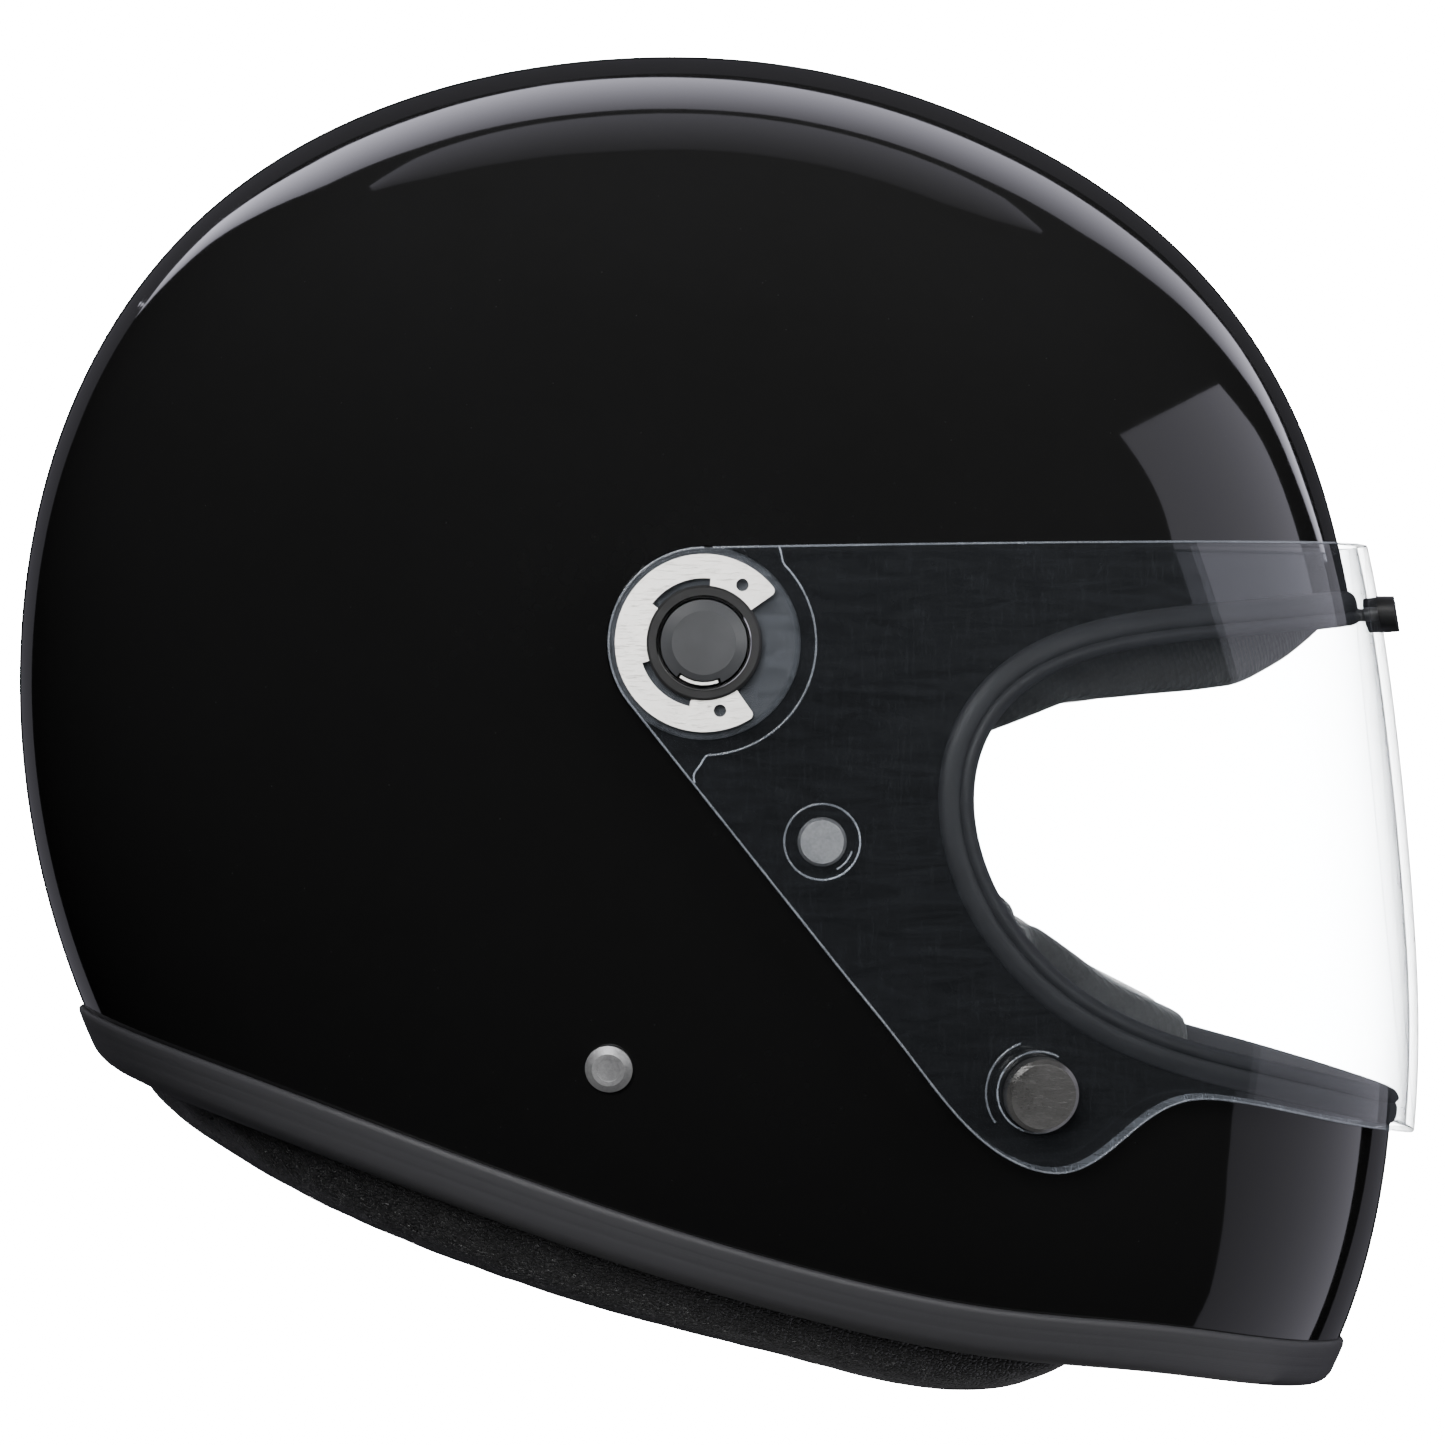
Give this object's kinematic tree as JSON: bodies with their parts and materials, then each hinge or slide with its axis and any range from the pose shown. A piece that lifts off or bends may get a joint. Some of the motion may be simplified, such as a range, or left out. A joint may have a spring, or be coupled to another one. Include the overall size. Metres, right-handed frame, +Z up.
{
  "type": "motorcycle helmet",
  "caption": "Full-face helmet with a hinged clear shield on side pivots, foam and padded lining, a rubber-trimmed rim and a two-ring chin strap.",
  "frame": {"origin": "under the middle of the helmet's bounding box, level with its lowest point", "axes": "+X forward (the way the wearer faces), +Y to the wearer's left, +Z up"},
  "size_m": [0.3212, 0.259, 0.3048],
  "materials": {
    "shell_gloss": "gloss black, clear coated",
    "trim_rubber": "satin charcoal",
    "seal_rubber": "satin charcoal",
    "foam": "black expanded foam",
    "lining_fabric": "black brushed knit",
    "roll_leather": "black grained",
    "stud_plastic": "black moulded",
    "clear_shield": "clear moulded",
    "tab_plastic": "black moulded",
    "zinc_steel": "zinc plated",
    "strap_web": "black webbing",
    "pivot_plastic": "satin black",
    "bezel_chrome": "polished",
    "button_plastic": "satin black",
    "clip_metal": "matte cream nickel",
    "spring_steel": "drawn wire",
    "snap_metal": "matte nickel",
    "pad_fabric": "black suede knit"
  },
  "bodies": {
    "helmet": {"outer_shell": "shell_gloss", "edge_trim": "trim_rubber", "eyeport_seal": "seal_rubber", "impact_liner": "foam", "chin_impact_liner": "foam", "crown_pad": "lining_fabric", "brow_band": "lining_fabric", "neck_roll": "roll_leather", "cheek_pad_studs": "stud_plastic", "long_strap": "strap_web", "short_strap": "strap_web", "strap_pad": "lining_fabric", "inner_d_ring": "zinc_steel", "strap_press_socket": "stud_plastic", "strap_press_stud": "stud_plastic", "right_pivot_base": "pivot_plastic", "left_pivot_base": "pivot_plastic", "right_pivot_hub": "pivot_plastic", "left_pivot_hub": "pivot_plastic", "right_pivot_bezel": "bezel_chrome", "left_pivot_bezel": "bezel_chrome", "right_latch_tab": "clip_metal", "left_latch_tab": "clip_metal", "right_pivot_clip": "clip_metal", "left_pivot_clip": "clip_metal", "right_pivot_screw": "zinc_steel", "left_pivot_screw": "zinc_steel", "right_pivot_nut": "zinc_steel", "left_pivot_nut": "zinc_steel", "right_button_spring": "spring_steel", "left_button_spring": "spring_steel", "right_visor_stud": "zinc_steel", "left_visor_stud": "zinc_steel", "right_strap_rivet": "zinc_steel", "left_strap_rivet": "zinc_steel", "right_snap_stud": "zinc_steel", "left_snap_stud": "zinc_steel", "right_cheek_pad": "pad_fabric", "left_cheek_pad": "pad_fabric"},
    "visor_body": {"visor": "clear_shield", "visor_tab": "tab_plastic", "visor_tab_screws": "zinc_steel", "right_visor_snap_cap": "snap_metal", "left_visor_snap_cap": "snap_metal"},
    "right_button": {"right_pivot_button": "button_plastic"},
    "left_button": {"left_pivot_button": "button_plastic"},
    "ring": {"outer_d_ring": "zinc_steel"}
  },
  "joints": [
    {"name": "visor_hinge", "type": "hinge", "parent": "helmet", "child": "visor_body", "pos_m": [-0.0037, 0, 0.16903], "axis": [0, -1, 0], "range_deg": [0, 58]},
    {"name": "right_button_press", "type": "slide", "parent": "helmet", "child": "right_button", "axis": [0, 1, 0], "range_m": [0, 0.0012], "stiffness_N_per_m": 500, "deforming": ["right_button_spring"]},
    {"name": "left_button_press", "type": "slide", "parent": "helmet", "child": "left_button", "axis": [0, -1, 0], "range_m": [0, 0.0012], "stiffness_N_per_m": 500, "deforming": ["left_button_spring"]},
    {"name": "outer_ring_hinge", "type": "hinge", "parent": "helmet", "child": "ring", "pos_m": [0.00209, 0.044, 0.01918], "axis": [0.9092, 0, 0.4163], "range_deg": [0, 45]}
  ]
}
